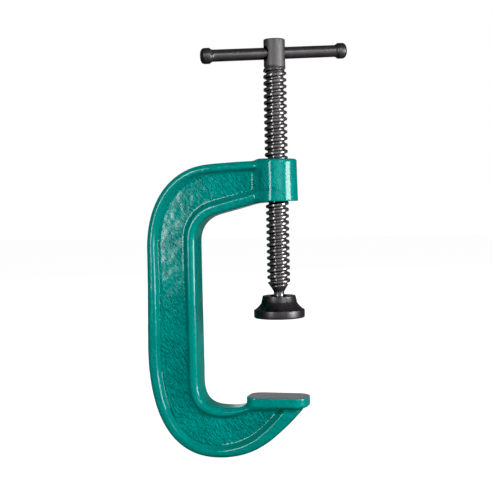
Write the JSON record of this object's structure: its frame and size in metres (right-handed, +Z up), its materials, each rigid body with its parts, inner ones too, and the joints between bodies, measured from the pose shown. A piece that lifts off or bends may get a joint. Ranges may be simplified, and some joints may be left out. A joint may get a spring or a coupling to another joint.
{
  "type": "c clamp",
  "caption": "Cast C clamp: an I-section frame with a fixed jaw, and a screw with a sliding handle bar and a swivel pad.",
  "frame": {"origin": "middle of the fixed jaw's face, where the screw's axis meets it", "axes": "+Z up the screw from the fixed jaw to the handle, +X away from the frame's spine, +Y across the frame's thickness"},
  "size_m": [0.1271, 0.0522, 0.2606],
  "materials": {
    "painted_casting": "glossy teal green enamel on a cast surface",
    "black_oxide_steel": "black oxide on turned and rolled steel",
    "black_oxide_pad": "black oxide on a turned pad",
    "spring_steel": "bright oiled spring wire"
  },
  "bodies": {
    "frame": {"frame": "painted_casting"},
    "carriage": {"retaining_ring": "spring_steel"},
    "screw": {"screw": "black_oxide_steel"},
    "handle": {"handle_bar": "black_oxide_steel"},
    "pad": {"swivel_pad": "black_oxide_pad"}
  },
  "joints": [
    {"name": "screw_travel", "type": "slide", "parent": "frame", "child": "carriage", "axis": [0, 0, 1], "range_m": [-0.0476, 0.0541]},
    {"name": "screw_turn", "type": "hinge", "parent": "carriage", "child": "screw", "pos_m": [0, 0, 0.15], "axis": [0, 0, 1], "range_deg": [-4275, 4860]},
    {"name": "pad_swivel", "type": "hinge", "parent": "carriage", "child": "pad", "pos_m": [0, 0, 0.0555], "axis": [0, 1, 0], "range_deg": [-5, 5]},
    {"name": "handle_slide", "type": "slide", "parent": "screw", "child": "handle", "axis": [0.8736, 0.4842, 0.0489], "range_m": [-0.0326, 0.0326]}
  ],
  "couplings": [
    {"joint": "screw_travel", "follows": "screw_turn", "m_per_rad": 0.00063662}
  ]
}
